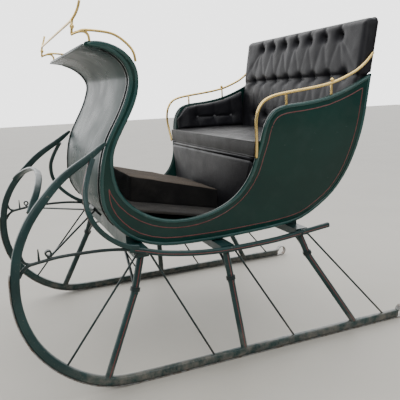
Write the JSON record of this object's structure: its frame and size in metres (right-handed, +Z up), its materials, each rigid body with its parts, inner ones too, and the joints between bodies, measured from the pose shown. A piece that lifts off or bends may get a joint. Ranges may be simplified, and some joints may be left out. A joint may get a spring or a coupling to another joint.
{
  "type": "horse drawn sleigh",
  "caption": "Horse drawn sleigh with curled dash, swelled side panels, tufted black seat, bent wood runners with iron shoes, braces, scroll bands and brass rails.",
  "frame": {"origin": "on the ground, at the middle of the bounding box", "axes": "+X to the rear of the sleigh, +Y to its right hand side, +Z up"},
  "size_m": [1.6899, 1.079, 1.3433],
  "materials": {
    "coach_green": "glossy dark green coach enamel with thin dark red lines",
    "gear_green": "worn dark green enamel with a red stripe",
    "dark_iron": "near black green enamel on iron rod",
    "shoe_iron": "bare worn runner iron",
    "brass": "polished brass with tarnish",
    "black_leather": "soft black upholstery leather, tufted",
    "worn_carpet": "dusty worn dark carpet"
  },
  "bodies": {
    "root": {"runner_left": "gear_green", "runner_shoe_left": "shoe_iron", "stanchion_front_left": "gear_green", "stanchion_mid_left": "gear_green", "stanchion_rear_left": "gear_green", "stay_rods_left": "dark_iron", "rave_left": "gear_green", "side_rail_left": "dark_iron", "scroll_band_left": "gear_green", "shaft_coupling_left": "dark_iron", "side_panel_left": "coach_green", "arm_pad_left": "black_leather", "arm_rail_left": "brass", "dash_loop_left": "brass", "runner_right": "gear_green", "runner_shoe_right": "shoe_iron", "stanchion_front_right": "gear_green", "stanchion_mid_right": "gear_green", "stanchion_rear_right": "gear_green", "stay_rods_right": "dark_iron", "rave_right": "gear_green", "side_rail_right": "dark_iron", "scroll_band_right": "gear_green", "shaft_coupling_right": "dark_iron", "side_panel_right": "coach_green", "arm_pad_right": "black_leather", "arm_rail_right": "brass", "dash_loop_right": "brass", "cross_bench_front": "gear_green", "knee_braces_front": "dark_iron", "cross_bench_mid": "gear_green", "knee_braces_mid": "dark_iron", "cross_bench_rear": "gear_green", "knee_braces_rear": "dark_iron", "front_cross_bar": "gear_green", "draft_rods": "dark_iron", "dash_panel": "coach_green", "floor_panel": "coach_green", "back_panel": "coach_green", "toe_board": "worn_carpet", "seat_front_board": "black_leather", "seat_deck": "black_leather", "seat_cushion": "black_leather", "seat_back": "black_leather", "foot_rest": "worn_carpet", "rein_rail": "brass"}
  },
  "joints": []
}
